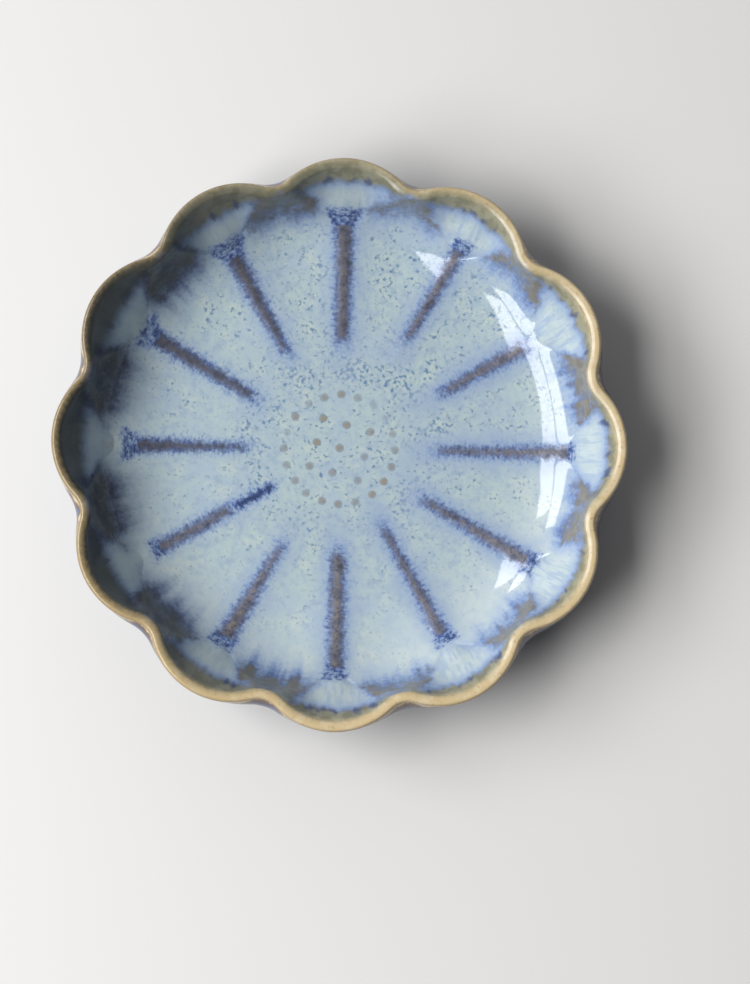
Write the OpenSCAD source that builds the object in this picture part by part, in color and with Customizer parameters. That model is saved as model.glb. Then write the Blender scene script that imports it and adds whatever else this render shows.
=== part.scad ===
// Small soy sauce dish of glazed stoneware: a shallow bowl of two layers of petals on a foot ring.
// The origin is the centre of the foot on the table, +Z is up, and one petal of the rim points along +X.

/* [Rim] */
// Number of petals round the rim, and of petals in the layer inside it
petal_count = 12; // [8:1:16]
// Width of the dish across the tips of opposite petals
rim_d = 105; // [92:1:130]
// Depth at which the arcs of two petals cross in the notch, measured in from the petals' tips
notch_depth = 4.9; // [2.5:0.1:5.5]
// Rounding of the notch, as the difference of the two arcs at which it starts
notch_round = 4; // [1:0.1:6]
// Height of the dish, from the table to the top of the lip
dish_h = 20; // [17:0.5:28]
// Width of the rounded lip, with its glaze
lip_w = 2.1; // [1.8:0.1:2.6]
// Height of the lip's rounding
lip_h = 0.8; // [0.6:0.1:1.2]
// Distance of the lip's highest line from its outer edge
lip_edge = 0.6; // [0.6:0.1:1]

/* [Well] */
// Thickness of the floor in the middle of the dish, with its glaze
floor_t = 3.5; // [3:0.1:5]
// Rise of the floor from its flat middle to the foot of the steep wall in the notches
floor_rise = 6.2; // [4:0.1:9]
// How late the floor rises, as the power of its curve
rise_power = 7; // [2:0.1:9]
// Tightness of the bend up to the steep wall, as the power of its curve
wall_power = 32; // [12:1:40]
// Distance of an inner petal's tip from the lip in the notch
petal_gap = 0.3; // [0.2:0.1:1.5]
// Length of an inner petal's rounded tip, from the outer ends of the ribs beside it
petal_tip_l = 5.7; // [3:0.1:8]
// Shape of the ledge that an outer petal makes, as the power of its curve up to the lip
ledge_power = 1.3; // [1.1:0.1:3]
// Height of the ridge between two inner petals, at the outer end of its rib
ridge_h = 1; // [0.1:0.1:1.5]
// How late the ridge grows towards that end, as the power of its curve
ridge_power = 1.5; // [1:0.1:3]
// Roundness of the ridge's crest, as a share of half a petal
ridge_round = 0.12; // [0.02:0.02:0.3]

/* [Ribs and dots] */
// Width of a rib at its outer end
rib_w = 3; // [1.6:0.1:4]
// Height of a rib's crown over the glaze
rib_h = 0.2; // [0.1:0.1:1]
// Distance of the ribs' inner ends from the flat middle of the floor
rib_gap = 4.3; // [1:0.1:8]
// Diameter of a dot
dot_d = 1.7; // [1:0.1:2.4]
// Height of a dot over the glaze
dot_h = 0.2; // [0.1:0.05:0.5]
// Space between two dots in the square of nine
dot_space = 2.9; // [1:0.1:5]
// Turn of the square of nine dots
dot_turn = -15; // [-45:1:45]
// Space between the corners of the square and the ring of dots round it
dot_ring_gap = 2; // [1:0.1:4]
// Number of dots in the ring
dot_ring_count = 20; // [12:1:24]
// Flat floor beyond the ring of dots
flat_margin = 3.9; // [1:0.1:6]

/* [Foot and outside] */
// Outer diameter of the foot ring
foot_d = 54; // [44:0.5:64]
// Width of the foot ring where it joins the bowl
foot_w = 4.5; // [3:0.1:8]
// Height of the foot ring, which is the depth of the recess inside it
foot_h = 3; // [1.5:0.1:5]
// Draft of the foot ring's two sides towards the table
foot_draft = 0.5; // [0.1:0.1:1]
// Chamfer of the foot ring's edges on the table
foot_edge = 0.5; // [0.2:0.1:1]
// Clearance between the foot ring and the end of the glaze outside it
foot_clear = 0.1; // [0.05:0.05:0.4]
// How fast the flutes outside fade below the lip, as a power
flute_power = 4; // [2:0.5:6]

/* [Glaze] */
// Thickness of the glaze inside, outside and on the lip
glaze_t = 0.4; // [0.2:0.05:0.55]
// Thickness of the glaze in the recess of the foot
base_glaze_t = 0.3; // [0.15:0.05:0.6]
// Bare clay left between the glaze in the recess and the foot ring
wipe_gap = 0.5; // [0.2:0.1:2]

/* [Hidden] */
$fn = 64;

// Angle from a petal's axis to the notch beside it
half = 180/petal_count;
rim_r = rim_d/2;
foot_r = foot_d/2;
floor_z = foot_h + floor_t;
lip_z = dish_h - lip_h;

// An arc between two notches: it reaches peak on its own axis and passes cross at the notches
function arc_centre(peak, cross) = (peak^2 - cross^2)/(2*(peak - cross*cos(half)));
function arc_at(a, centre, r) = centre*cos(a) + sqrt(max(0, r^2 - (centre*sin(a))^2));
// The larger of two values, with a round corner that lifts their crossing by a quarter of its width
function soft_max(a, b, width) = max(a, b) + max(0, width - abs(a - b))^2/(4*width);
function mix(a, b, t) = a + (b - a)*t;
function unit(v) = v/norm(v);

// Outline of the rim at an angle from a petal's axis, moved in as far in the notches as on the petals
lobe_c = arc_centre(rim_r, rim_r - notch_depth);
lobe_r = rim_r - lobe_c;
function notch_width(inset) =
    notch_round + 4*(rim_r - notch_depth - inset - arc_at(half, lobe_c, lobe_r - inset));
function outline(a, inset) = soft_max(arc_at(a, lobe_c, lobe_r - inset),
                                      arc_at(2*half - a, lobe_c, lobe_r - inset), notch_width(inset));

// Crease where an inner petal ends: its tip is at the notch and it meets its neighbours at the ribs
wall_r = outline(half, lip_w);
crease_tip = wall_r - petal_gap;
rib_out_r = crease_tip - petal_tip_l;
crease_c = arc_centre(crease_tip, rib_out_r);
function crease(a) = arc_at(half - a, crease_c, crease_tip - crease_c);

// Flat middle of the floor under the square and the ring of dots, and the ribs that start beyond it
dot_pitch = dot_d + dot_space;
dot_ring_r = dot_pitch*sqrt(2) + dot_d + dot_ring_gap;
flat_r = dot_ring_r + dot_d/2 + flat_margin;
rib_in_r = flat_r + rib_gap;

// Height of the inner petals: a flat middle, a rise, a steep wall, and a ridge that grows along each rib
function ridge_z(r, a) =
    let (out = min(1, max(0, r - flat_r)/(rib_out_r - flat_r)))
    ridge_h*(1 - norm([a/half, ridge_round]))^2*out^ridge_power;
function petal_z(r, a) =
    let (t = max(0, (r - flat_r)/(wall_r - flat_r)))
    floor_z + floor_rise*t^rise_power + (lip_z - floor_z - floor_rise)*t^wall_power + ridge_z(r, a);

// Rows of the grid: shares of the way along each stretch, and angles over the lip and down the outside
petal_rows = [0.3, 0.55, 0.7, 0.8, 0.88, 0.95, 1];
ledge_rows = [0.15, 0.4, 0.7];
lip_rows = [150, 115, 90, 45, 0];
side_rows = [10, 21, 33, 46, 60, 75, 90];
rib_first = 2;
rib_last = rib_first + len(petal_rows);
lip_first = rib_last + len(ledge_rows) + 1;
lip_last = lip_first + len(lip_rows) - 1;
foot_row = lip_last + len(side_rows);

// The lip is two quarters of ellipses that meet at its highest line: a long one inside, a short one outside
function lip_point(a, turn, skin) =
    let (peak = outline(a, lip_edge),
         reach = turn < 90 ? outline(a, 0) - peak : peak - outline(a, lip_w))
    [peak + (reach - skin)*cos(turn), lip_z + (lip_h - skin)*sin(turn)];

// The outside is a quarter of an ellipse from the lip to the foot, with flutes that fade below the lip
side_w = rim_r - foot_r - foot_clear;
side_h = lip_z - foot_h + glaze_t;
function side_point(a, turn, skin) =
    let (flute = (rim_r - outline(a, 0))*(1 - turn/90)^flute_power,
         out = unit([side_h*cos(turn), -side_w*sin(turn)]))
    [rim_r - side_w*(1 - cos(turn)) - flute, lip_z - side_h*sin(turn)] - skin*out;

// Glazed surface inside, from the middle of the floor up to the lip
function well_points(a) =
    let (fold = crease(a), fold_z = petal_z(fold, a), top = lip_point(a, lip_rows[0], 0))
    [[0, floor_z], [flat_r, floor_z], [rib_in_r, petal_z(rib_in_r, a)],
     for (t = petal_rows) let (r = mix(rib_in_r, fold, t)) [r, petal_z(r, a)],
     for (t = ledge_rows) [mix(fold, top[0], t), mix(fold_z, top[1], t^ledge_power)],
     top];

// Points moved into the clay, square to their own curve: the first goes straight down, the last is left out
function sunk(p, depth) =
    [p[0] - [0, depth],
     for (k = [1:len(p) - 2]) let (along = unit(p[k + 1] - p[k - 1])) p[k] + depth*[along[1], -along[0]]];

// One profile from the middle of the floor over the lip to the foot, at the glaze or at the clay under it
function glaze_profile(a) =
    [each well_points(a),
     for (turn = lip_rows) if (turn < lip_rows[0]) lip_point(a, turn, 0),
     for (turn = side_rows) side_point(a, turn, 0)];
function clay_profile(a) =
    [each sunk(well_points(a), glaze_t),
     for (turn = lip_rows) lip_point(a, turn, glaze_t),
     for (turn = side_rows) side_point(a, turn, glaze_t)];

// Columns of the grid in one sector, from a rib to the next: the rib's edges, even steps, and the notch
petal_steps = 4;
rib_a = asin(rib_w/2/rib_out_r);
half_cols = [for (i = [0:petal_steps]) mix(rib_a, half, i/petal_steps)];
sector = [0, each half_cols, for (i = [petal_steps - 1:-1:0]) 2*half - half_cols[i]];
cols = len(sector);
col_count = cols*petal_count;
function folded(a) = a > half ? 2*half - a : a;
function turned(p, a) = [p[0]*cos(a), p[0]*sin(a), p[1]];

// Points of a list of profiles, one for each column of a sector, set round the axis row by row
function ring_points(profiles, first, last) =
    [for (k = [first:last], i = [0:petal_count - 1], c = [0:cols - 1])
        turned(profiles[c][k], 2*half*i + sector[c])];

glazed = [for (a = sector) glaze_profile(folded(a))];
clay = [for (a = sector) clay_profile(folded(a))];

// A cell of the grid is two triangles, cut along the same diagonal on every layer
function cell(a, b, c, d) = [[a, b, c], [a, c, d]];
function cell_under(a, b, c, d) = [[a, c, b], [a, d, c]];
function wrap(j) = j % col_count;

// Whether a cell of the inner glaze is left open for a rib
function at_rib(k, j) = let (c = j % cols)
    k >= rib_first && k < rib_last && (c == 0 || c == cols - 1);

// Bands of cells from row first to row last, where the points from base on begin with the row start
function over(base, start, first, last, open = false) =
    [for (k = [first:last - 1], j = [0:col_count - 1])
        let (i = base + (k - start)*col_count)
        if (!(open && at_rib(k, j)))
            each cell(i + j, i + wrap(j + 1), i + col_count + wrap(j + 1), i + col_count + j)];
function under(base, start, first, last, open = false) =
    [for (k = [first:last - 1], j = [0:col_count - 1])
        let (i = base + (k - start)*col_count)
        if (!(open && at_rib(k, j)))
            each cell_under(i + j, i + wrap(j + 1), i + col_count + wrap(j + 1), i + col_count + j)];

// A wall from two points of the glaze down to the clay's points under them, and the same wall turned round
function wall(a, b, down) = cell(a, b, down + b, down + a);
function wall_turned(a, b, down) = cell_under(a, b, down + b, down + a);

// Closing wall of a coat along a row, facing on past the row or back before it
function wall_on(row, down) =
    [for (j = [0:col_count - 1]) each wall(row + j, row + wrap(j + 1), down)];
function wall_back(row, down) =
    [for (j = [0:col_count - 1]) each wall_turned(row + j, row + wrap(j + 1), down)];

// A coat of glaze between two rows: the glazed points, then the clay's points under them
module coat(first, last) {
    n = (last - first + 1)*col_count;
    polyhedron(
        [each ring_points(glazed, first, last), each ring_points(clay, first, last)],
        [each over(0, first, first, last), each under(n, first, first, last),
         each wall_back(0, n),
         each wall_on((last - first)*col_count, n)]);
}

module clay_body() {
    color("burlywood")
    polyhedron(
        [[0, 0, floor_z - glaze_t], each ring_points(clay, 1, foot_row)],
        [for (j = [0:col_count - 1]) [0, 1 + wrap(j + 1), 1 + j],
         each over(1, 1, 1, foot_row),
         [for (j = [0:col_count - 1]) 1 + (foot_row - 1)*col_count + j]]);
}

module foot_ring() {
    color("tan")
    rotate_extrude($fn = 128)
    polygon([[foot_r - foot_w, foot_h],
             [foot_r - foot_w + foot_draft, foot_edge],
             [foot_r - foot_w + foot_draft + foot_edge, 0],
             [foot_r - foot_draft - foot_edge, 0],
             [foot_r - foot_draft, foot_edge],
             [foot_r, foot_h]]);
}

// Three points across a rib: its two sides and its middle
function across_rib(side, middle) = [turned(side, -rib_a), turned(middle, 0), turned(side, rib_a)];

// One rib fills the slot in the glaze from the clay up and stands over it in a crown
module rib() {
    last = rib_last - rib_first;
    rows = [rib_first:rib_last];
    edge = [for (k = rows) glazed[1][k]];
    crest = [for (k = rows) glazed[0][k] + [0, k == rib_first || k == rib_last ? 0 : rib_h]];
    bed_edge = [for (k = rows) clay[1][k]];
    bed = [for (k = rows) clay[0][k]];
    n = 3*(last + 1);
    polyhedron(
        [for (k = [0:last]) each across_rib(edge[k], crest[k]),
         for (k = [0:last]) each across_rib(bed_edge[k], bed[k])],
        [for (k = [0:last - 1], j = [0, 1]) let (i = 3*k + j) each cell(i, i + 1, i + 4, i + 3),
         for (k = [0:last - 1], j = [0, 1]) let (i = n + 3*k + j) each cell_under(i, i + 1, i + 4, i + 3),
         for (k = [0:last - 1]) each wall(3*k, 3*k + 3, n),
         for (k = [0:last - 1]) each wall_turned(3*k + 2, 3*k + 5, n),
         for (j = [0, 1]) each wall_turned(j, j + 1, n),
         for (j = [0, 1]) let (i = 3*last + j) each wall(i, i + 1, n)]);
}

module petal_ribs() {
    color("dimgray")
    for (i = [0:petal_count - 1]) rotate(2*half*i) rib();
}

// A dot is a cap cut from a sphere
module dot() {
    ball_r = ((dot_d/2)^2 + dot_h^2)/(2*dot_h);
    intersection() {
        translate([0, 0, dot_h - ball_r]) sphere(ball_r, $fn = 160);
        cylinder(d = 2*dot_d, h = 2*dot_h);
    }
}

module stamen_dots() {
    color("tan")
    translate([0, 0, floor_z]) {
        for (i = [0:dot_ring_count - 1]) rotate(360/dot_ring_count*i) translate([dot_ring_r, 0, 0]) dot();
        rotate(dot_turn)
        for (i = [-1:1], j = [-1:1]) translate(dot_pitch*[i, j, 0]) dot();
    }
}

// Sides and ends of the slots that the ribs fill
function slot_walls(down) =
    let (first = (rib_first - 1)*col_count + 1, last = (rib_last - 1)*col_count + 1)
    [for (i = [0:petal_count - 1])
        let (mid = i*cols, right = wrap(mid + col_count - 1), left = mid + 1)
        each [
            for (row = [first:col_count:last - col_count]) let (next = row + col_count)
                each [each wall_turned(row + right, next + right, down),
                      each wall(row + left, next + left, down)],
            each wall(first + right, first + mid, down),
            each wall(first + mid, first + left, down),
            each wall_turned(last + right, last + mid, down),
            each wall_turned(last + mid, last + left, down)]];

module inner_glaze() {
    n = lip_first*col_count + 1;
    edge = (lip_first - 1)*col_count + 1;
    color("lightsteelblue")
    polyhedron(
        [[0, 0, floor_z], each ring_points(glazed, 1, lip_first),
         [0, 0, floor_z - glaze_t], each ring_points(clay, 1, lip_first)],
        [for (j = [0:col_count - 1]) [0, 1 + wrap(j + 1), 1 + j],
         for (j = [0:col_count - 1]) [n, n + 1 + j, n + 1 + wrap(j + 1)],
         each over(1, 1, 1, lip_first, true), each under(n + 1, 1, 1, lip_first, true),
         each wall_on(edge, n),
         each slot_walls(n)]);
}

module lip_glaze() {
    color("darkkhaki") coat(lip_first, lip_last);
}

module outer_glaze() {
    color("midnightblue") coat(lip_last, foot_row);
}

module base_glaze() {
    color("slategray")
    translate([0, 0, foot_h - base_glaze_t])
    cylinder(r = foot_r - foot_w - wipe_gap, h = base_glaze_t, $fn = 128);
}

clay_body();
foot_ring();
petal_ribs();
stamen_dots();
inner_glaze();
lip_glaze();
outer_glaze();
base_glaze();
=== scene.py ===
# %% [markdown]
# A small soy sauce dish: stoneware pressed into two layers of twelve petals, with a reactive glaze that is
# milky blue where it lies thick and breaks to brown on the ribs, on the petals' edges and on the lip.
# The frame is loaded first, because every piece takes its place and its main sizes from it.

# %% Frame
from functools import partial

import bpy
import numpy as np
from mathutils import Matrix, Vector


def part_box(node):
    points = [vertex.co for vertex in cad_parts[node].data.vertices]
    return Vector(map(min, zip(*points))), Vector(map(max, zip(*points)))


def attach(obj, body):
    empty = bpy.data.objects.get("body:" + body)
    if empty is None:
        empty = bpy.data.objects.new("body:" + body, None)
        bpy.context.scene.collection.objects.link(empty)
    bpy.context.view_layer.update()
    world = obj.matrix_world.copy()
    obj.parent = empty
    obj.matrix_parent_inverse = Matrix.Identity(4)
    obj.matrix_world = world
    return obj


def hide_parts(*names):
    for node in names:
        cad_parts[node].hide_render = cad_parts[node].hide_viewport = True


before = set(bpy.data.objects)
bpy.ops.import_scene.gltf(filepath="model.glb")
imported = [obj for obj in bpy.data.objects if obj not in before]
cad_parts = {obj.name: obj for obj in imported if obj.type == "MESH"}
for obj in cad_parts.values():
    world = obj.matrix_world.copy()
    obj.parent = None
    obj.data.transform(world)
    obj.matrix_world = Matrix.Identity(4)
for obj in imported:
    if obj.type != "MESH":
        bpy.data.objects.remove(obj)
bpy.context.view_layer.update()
print("nodes", sorted(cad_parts))

# %% [markdown]
# All shapes are worked out in millimetres and radians and turned into metres when a mesh is made.
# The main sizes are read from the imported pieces, so that the looks sit exactly on the construction.

# %% Sizes read from the frame
MM = 0.001


def corners(node):
    """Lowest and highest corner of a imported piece, in millimetres."""
    low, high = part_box(node)
    return np.array(low) / MM, np.array(high) / MM


lip_high = corners("lip_glaze")[1]
foot_low, foot_high = corners("foot_ring")
dots_low, dots_high = corners("stamen_dots")
base_low, base_high = corners("base_glaze")
rim_r, dish_h = lip_high[0], lip_high[2]
foot_r, foot_h = foot_high[0], foot_high[2]
floor_z = dots_low[2]
print(f"rim {2 * rim_r:.2f} mm, height {dish_h:.2f} mm, foot {2 * foot_r:.2f} mm, floor at {floor_z:.2f} mm")

# %% [markdown]
# The finer sizes can't be read from a box, so they are named here, as a maker would note them for a mould.
# Powers and counts have no unit: a higher power keeps a curve flat for longer and then bends it faster.

# %% Sizes of the petals, the ribs and the coats, in millimetres
PETALS = 12
HALF = np.pi / PETALS
NOTCH_DEPTH, NOTCH_ROUND = 4.9, 4.0
LIP_W, LIP_H, LIP_EDGE = 2.1, 0.8, 0.6
FLOOR_RISE, RISE_POWER, WALL_POWER = 6.2, 7.0, 32.0
PETAL_GAP, PETAL_TIP_L = 0.3, 5.7
LEDGE_POWER = 1.15
RIDGE_H, RIDGE_POWER, RIDGE_ROUND, RIDGE_FADE = 1.0, 1.5, 0.12, 6.0
CREASE_ROUND, CREASE_LEAST, CREASE_REACH, FOLD_ROUND = 1.4, 0.4, 8.0, 5.0
RIB_W, RIB_H = 3.0, 0.05
RIB_GAP = 4.3
DOT_D, DOT_LOOK_D = 1.7, 2.3
FLAT_MARGIN = 3.9
FOOT_W = 4.5
FOOT_CLEAR = 0.1
FLUTE_POWER = 4.0
RIB_CROWN_POWER, RIB_SOFT_IN, RIB_SOFT_OUT = 1.5, 0.12, 0.1
GLAZE_T = 0.4
lip_z = dish_h - LIP_H
dot_ring_r = dots_high[0] - DOT_D / 2
flat_r = dots_high[0] + FLAT_MARGIN
rib_in_r = flat_r + RIB_GAP

# %% [markdown]
# Seen from above, the rim is twelve arcs that meet in soft notches, and inside it lies a second layer of
# petals whose tips point at the notches. Both come from one formula for an arc between two notches.


# %% Outline of the rim and of the inner petals
def arc_centre(peak, cross):
    """Centre of an arc that reaches peak on its own axis and passes cross at the notches beside it."""
    return (peak**2 - cross**2) / (2 * (peak - cross * np.cos(HALF)))


def arc_at(a, centre, radius):
    """Distance of that arc from the dish's axis, at angle a from the arc's own axis."""
    return centre * np.cos(a) + np.sqrt(np.maximum(0, radius**2 - (centre * np.sin(a)) ** 2))


def soft_max(p, q, width):
    """The larger of p and q, plus a parabola that rounds the corner where they differ by under a width."""
    return np.maximum(p, q) + np.maximum(0, width - np.abs(p - q)) ** 2 / (4 * width)


lobe_c = arc_centre(rim_r, rim_r - NOTCH_DEPTH)
lobe_r = rim_r - lobe_c


def outline(a, inset):
    """The rim at angle a from a petal's axis, moved in by inset: two neighbouring arcs and a round notch."""
    near, far, cross = (arc_at(turn, lobe_c, lobe_r - inset) for turn in (a, 2 * HALF - a, HALF))
    return soft_max(near, far, NOTCH_ROUND + 4 * (rim_r - NOTCH_DEPTH - inset - cross))


wall_r = outline(HALF, LIP_W)
crease_tip = wall_r - PETAL_GAP
rib_out_r = crease_tip - PETAL_TIP_L
crease_c = arc_centre(crease_tip, rib_out_r)
rib_a = np.arcsin(RIB_W / 2 / rib_out_r)


def crease(a):
    """The edge of an inner petal: an arc that peaks at the notch and meets its neighbours at the ribs."""
    return arc_at(HALF - a, crease_c, crease_tip - crease_c)


print(f"inner petals end at {crease_tip:.2f} mm, ribs run from {rib_in_r:.2f} to {rib_out_r:.2f} mm")

# %% [markdown]
# The whole glazed skin is one grid: rows run from the middle of the floor over the lip to the foot, and
# columns run round the axis. Cutting the pieces out of one grid keeps their edges and their shading joined.
# The columns crowd at the ribs, and the rows crowd at the creases, where the shape turns fastest.

# %% Columns round the axis
RIB_STEPS, PETAL_STEPS = 4, 18
half_cols = np.append(np.linspace(0, rib_a, RIB_STEPS + 1)[:-1], np.linspace(rib_a, HALF, PETAL_STEPS + 1))
sector = np.append(half_cols, 2 * HALF - half_cols[-2:0:-1])
sector_cols = len(sector)
turns = (2 * HALF * np.arange(PETALS)[:, None] + sector).ravel()
fold_a = np.abs((turns + HALF) % (2 * HALF) - HALF)
print(f"{len(turns)} columns, {sector_cols} to a petal")

# %% [markdown]
# The well is a floor that bends up into a wall. It could be sculpted, but heights as a formula of the
# distance from the axis keep every petal alike and let the crease, the ridges and the lip meet.


# %% Heights of the well
def ridge_z(r, a):
    """The ridge along each rib: a round crest across it, which grows outwards by a power."""
    out = np.clip((r - flat_r) / (rib_out_r - flat_r), 0, 1)
    return RIDGE_H * (1 - np.hypot(a / HALF, RIDGE_ROUND)) ** 2 * out**RIDGE_POWER


def petal_z(r, a):
    """Inner petals: a rise and a steep wall, both as powers of the way out, and the ridges between them."""
    t = np.maximum(0, (r - flat_r) / (wall_r - flat_r))
    wall = (lip_z - floor_z - FLOOR_RISE) * t**WALL_POWER
    return floor_z + FLOOR_RISE * t**RISE_POWER + wall + ridge_z(r, a)


def lip_point(a, turn):
    """The lip: two quarters of ellipses that meet at its highest line, the longer one inside."""
    peak = outline(a, LIP_EDGE)
    reach = np.where(np.cos(turn) > 0, outline(a, 0) - peak, peak - outline(a, LIP_W))
    return peak + reach * np.cos(turn), lip_z + LIP_H * np.sin(turn) + 0 * peak


LIP_START = np.radians(150)
top_r, top_z = lip_point(fold_a, LIP_START)
fold_r = soft_max(crease(fold_a), crease(-fold_a), FOLD_ROUND)
fold_ridge = ridge_z(fold_r, fold_a)
fold_z = petal_z(fold_r, fold_a) - fold_ridge


def well_z(r):
    """The petals up to the crease, then the ledge up to the lip, on which the ridges soon fade away."""
    width = top_r - fold_r
    share = np.maximum(0, (r - fold_r) / width)
    petal = petal_z(r, fold_a)
    ledge = fold_z + (top_z - fold_z) * share**LEDGE_POWER
    ledge = ledge + fold_ridge * np.maximum(0, 1 - share**2) ** RIDGE_FADE
    inward = np.clip((fold_r - r) / CREASE_REACH, 0, 1)
    nearby = (1 - inward**2) ** 2 * np.maximum(0, 1 - share**2) ** 2
    soft = CREASE_ROUND * np.maximum(CREASE_LEAST, fold_a / HALF) * np.minimum(1, width / 2) * nearby
    gap = petal - ledge
    return np.where(r < fold_r, petal, ledge) - (np.hypot(gap, soft) - np.abs(gap)) / 2

# %% [markdown]
# Rows that crowd towards an edge put the points where the shape turns, and leave few on the flat floor.


# %% Rows from the middle of the floor to the foot
def eased(count, power):
    """Shares from 0 to 1 without the 0, with steps that shrink towards the end by a power."""
    return 1 - (1 - np.linspace(0, 1, count + 1)[1:]) ** power


FLOOR_ROWS, NECK_ROWS, PETAL_ROWS, LEDGE_ROWS, LIP_ROWS, SIDE_ROWS = 9, 5, 36, 18, 14, 26
PETAL_CROWDING, LEDGE_CROWDING = 1.7, 1.5
flat_rows = np.linspace(0, flat_r, FLOOR_ROWS + 1)
neck_rows = np.linspace(flat_r, rib_in_r, NECK_ROWS + 1)[1:]
round_rows = np.append(flat_rows, neck_rows)[:, None] * np.ones(len(turns))
petal_rows = rib_in_r + (fold_r - rib_in_r) * eased(PETAL_ROWS, PETAL_CROWDING)[:, None]
ledge_shares = np.linspace(0, 1, LEDGE_ROWS + 1)[1:, None] ** LEDGE_CROWDING
ledge_rows = fold_r + (top_r - fold_r) * ledge_shares
well_r = np.vstack([round_rows, petal_rows, ledge_rows])
rib_first = FLOOR_ROWS + NECK_ROWS
rib_last = rib_first + PETAL_ROWS
lip_first = rib_last + LEDGE_ROWS
lip_last = lip_first + LIP_ROWS
foot_row = lip_last + SIDE_ROWS
print(f"{len(well_r)} rows in the well, {foot_row + 1} in all")

# %% [markdown]
# A rib is a bead of slip, so it stands up from the petals as a low round bar and sinks away at both ends.
# The outside is a quarter of an ellipse, with flutes under the notches that fade away below the lip.


# %% The whole skin
def rib_crown(r):
    """Height of the ribs over the petals: a rounded bump across, times a soft start and a soft end along."""
    across = np.clip(1 - (fold_a / rib_a) ** 2, 0, 1) ** RIB_CROWN_POWER
    along = np.clip((r - rib_in_r) / (fold_r - rib_in_r), 0, 1)
    ends = np.clip(along / RIB_SOFT_IN, 0, 1) * np.clip((1 - along) / RIB_SOFT_OUT, 0, 1)
    return RIB_H * across * ends * (2 - ends)


def outside(turn):
    """The outside at a turn from the lip down to the foot: an ellipse less the flutes."""
    side_w = rim_r - foot_r - FOOT_CLEAR
    side_h = lip_z - foot_h + GLAZE_T
    flute = (rim_r - outline(fold_a, 0)) * (1 - turn / (np.pi / 2)) ** FLUTE_POWER
    return rim_r - side_w * (1 - np.cos(turn)) - flute, lip_z - side_h * np.sin(turn) + 0 * flute


lip_turns = np.linspace(LIP_START, 0, LIP_ROWS + 1)[1:, None]
side_turns = np.linspace(0, np.pi / 2, SIDE_ROWS + 1)[1:, None]
lip_rows, side_rows = lip_point(fold_a, lip_turns), outside(side_turns)
skin_r = np.vstack([well_r, lip_rows[0], side_rows[0]])
skin_z = np.vstack([well_z(well_r) + rib_crown(well_r), lip_rows[1], side_rows[1]])
skin = np.stack([skin_r * np.cos(turns), skin_r * np.sin(turns), skin_z], axis=2)
print(f"skin of {skin.shape[0]} rows by {skin.shape[1]} columns")

# %% [markdown]
# Glaze lies on the clay in an even coat, so the clay's own surface is the skin moved in square to itself.
# The same directions serve as the shading normals, which keeps the joints between the pieces out of sight.


# %% Directions square to the skin, and the clay under it
def square_to(points):
    """Unit normals of a closed ring grid: the cross product of the steps along its rows and columns."""
    along = np.gradient(points, axis=0)
    beside = np.roll(points, -1, axis=1) - np.roll(points, 1, axis=1)
    across = np.cross(along, beside)
    return across / np.maximum(np.linalg.norm(across, axis=2, keepdims=True), 1e-12)


skin_out = square_to(skin)
skin_out[0] = (0, 0, 1)
skin_out[foot_row] = (0, 0, -1)
clay = skin - GLAZE_T * skin_out
print(f"clay lies {GLAZE_T} mm under the skin")

# %% [markdown]
# The glaze takes its colour from how thick it lies, and that follows the shape: thin on the ribs, under the
# creases and under the lip, and thick in the pools. Each grid point therefore carries distances in
# millimetres from those edges. The tables hold what differs from rib to rib and from petal to petal on a
# dish that was trailed and dipped by hand: where the brown of each rib starts and ends, how wide it is at
# both ends, and how far the brown runs down from each crease and from each lobe of the lip. The bands
# under the creases and the lobes are drawn wider on the left partly as painted shade, where those walls
# face away from the light.

# %% Distances from the edges where the glaze breaks
rib_start = np.array([19.1, 22.5, 25.0, 20.8, 21.4, 19.3, 18.1, 23.5, 21.8, 20.0, 17.4, 19.0])
rib_end = np.array([42.0, 38.6, 42.6, 41.6, 40.6, 39.6, 37.4, 37.8, 40.6, 40.6, 39.0, 40.2])
rib_thin = np.array([0.5, 0.7, 0.7, 1.1, 0.7, 0.7, 0.4, 0.8, 0.5, 1.1, 0.5, 0.6])
rib_wide = np.array([1.0, 1.1, 1.0, 1.5, 1.4, 1.3, 1.2, 1.0, 1.5, 1.3, 1.1, 1.2])
crease_band = np.array([2.4, 1.2, 0.8, 1.8, 3.6, 4.0, 4.0, 3.8, 3.1, 1.4, 2.0, 2.1])
lobe_band = np.array([1.5, 1.8, 1.9, 2.0, 2.8, 3.4, 3.6, 3.4, 2.6, 2.2, 1.9, 1.6])
# gold_wide is partly painted shade and light: the gold is narrow on the upper left, where the lip's inner
# half lies in shade, and wide on the right, where the lip is lit.
gold_wide = np.array([2.4, 2.4, 1.5, 0.4, 0.4, 0.5, 1.0, 1.4, 2.1, 2.6, 2.5, 2.4])
# The next table is painted shade: how far the bands, lumps and blues are darkened round the dish, most on the
# left, where the walls face away from the light.
painted_shade_share = np.array([0.0, 0.0, 0.1, 0.3, 0.6, 0.9, 1.0, 0.9, 0.5, 0.1, 0.0, 0.0])
# fan_wide: the fans are widest on the upper left, partly as painted shade on walls that face away from the
# light.
fan_wide = np.array([0.0, 0.0, 0.6, 1.6, 2.0, 2.0, 1.8, 0.6, 0.9, 0.8, 0.9, 0.8])
# rib_deep darkens each rib's brown; the darkest, on the upper left, are partly painted shade, the rest varies
# from rib to rib.
rib_deep = np.array([0.1, 0.25, 0.2, 0.55, 0.75, 0.8, 0.9, 0.3, 0.0, 0.3, 0.3, 0.1])
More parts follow.
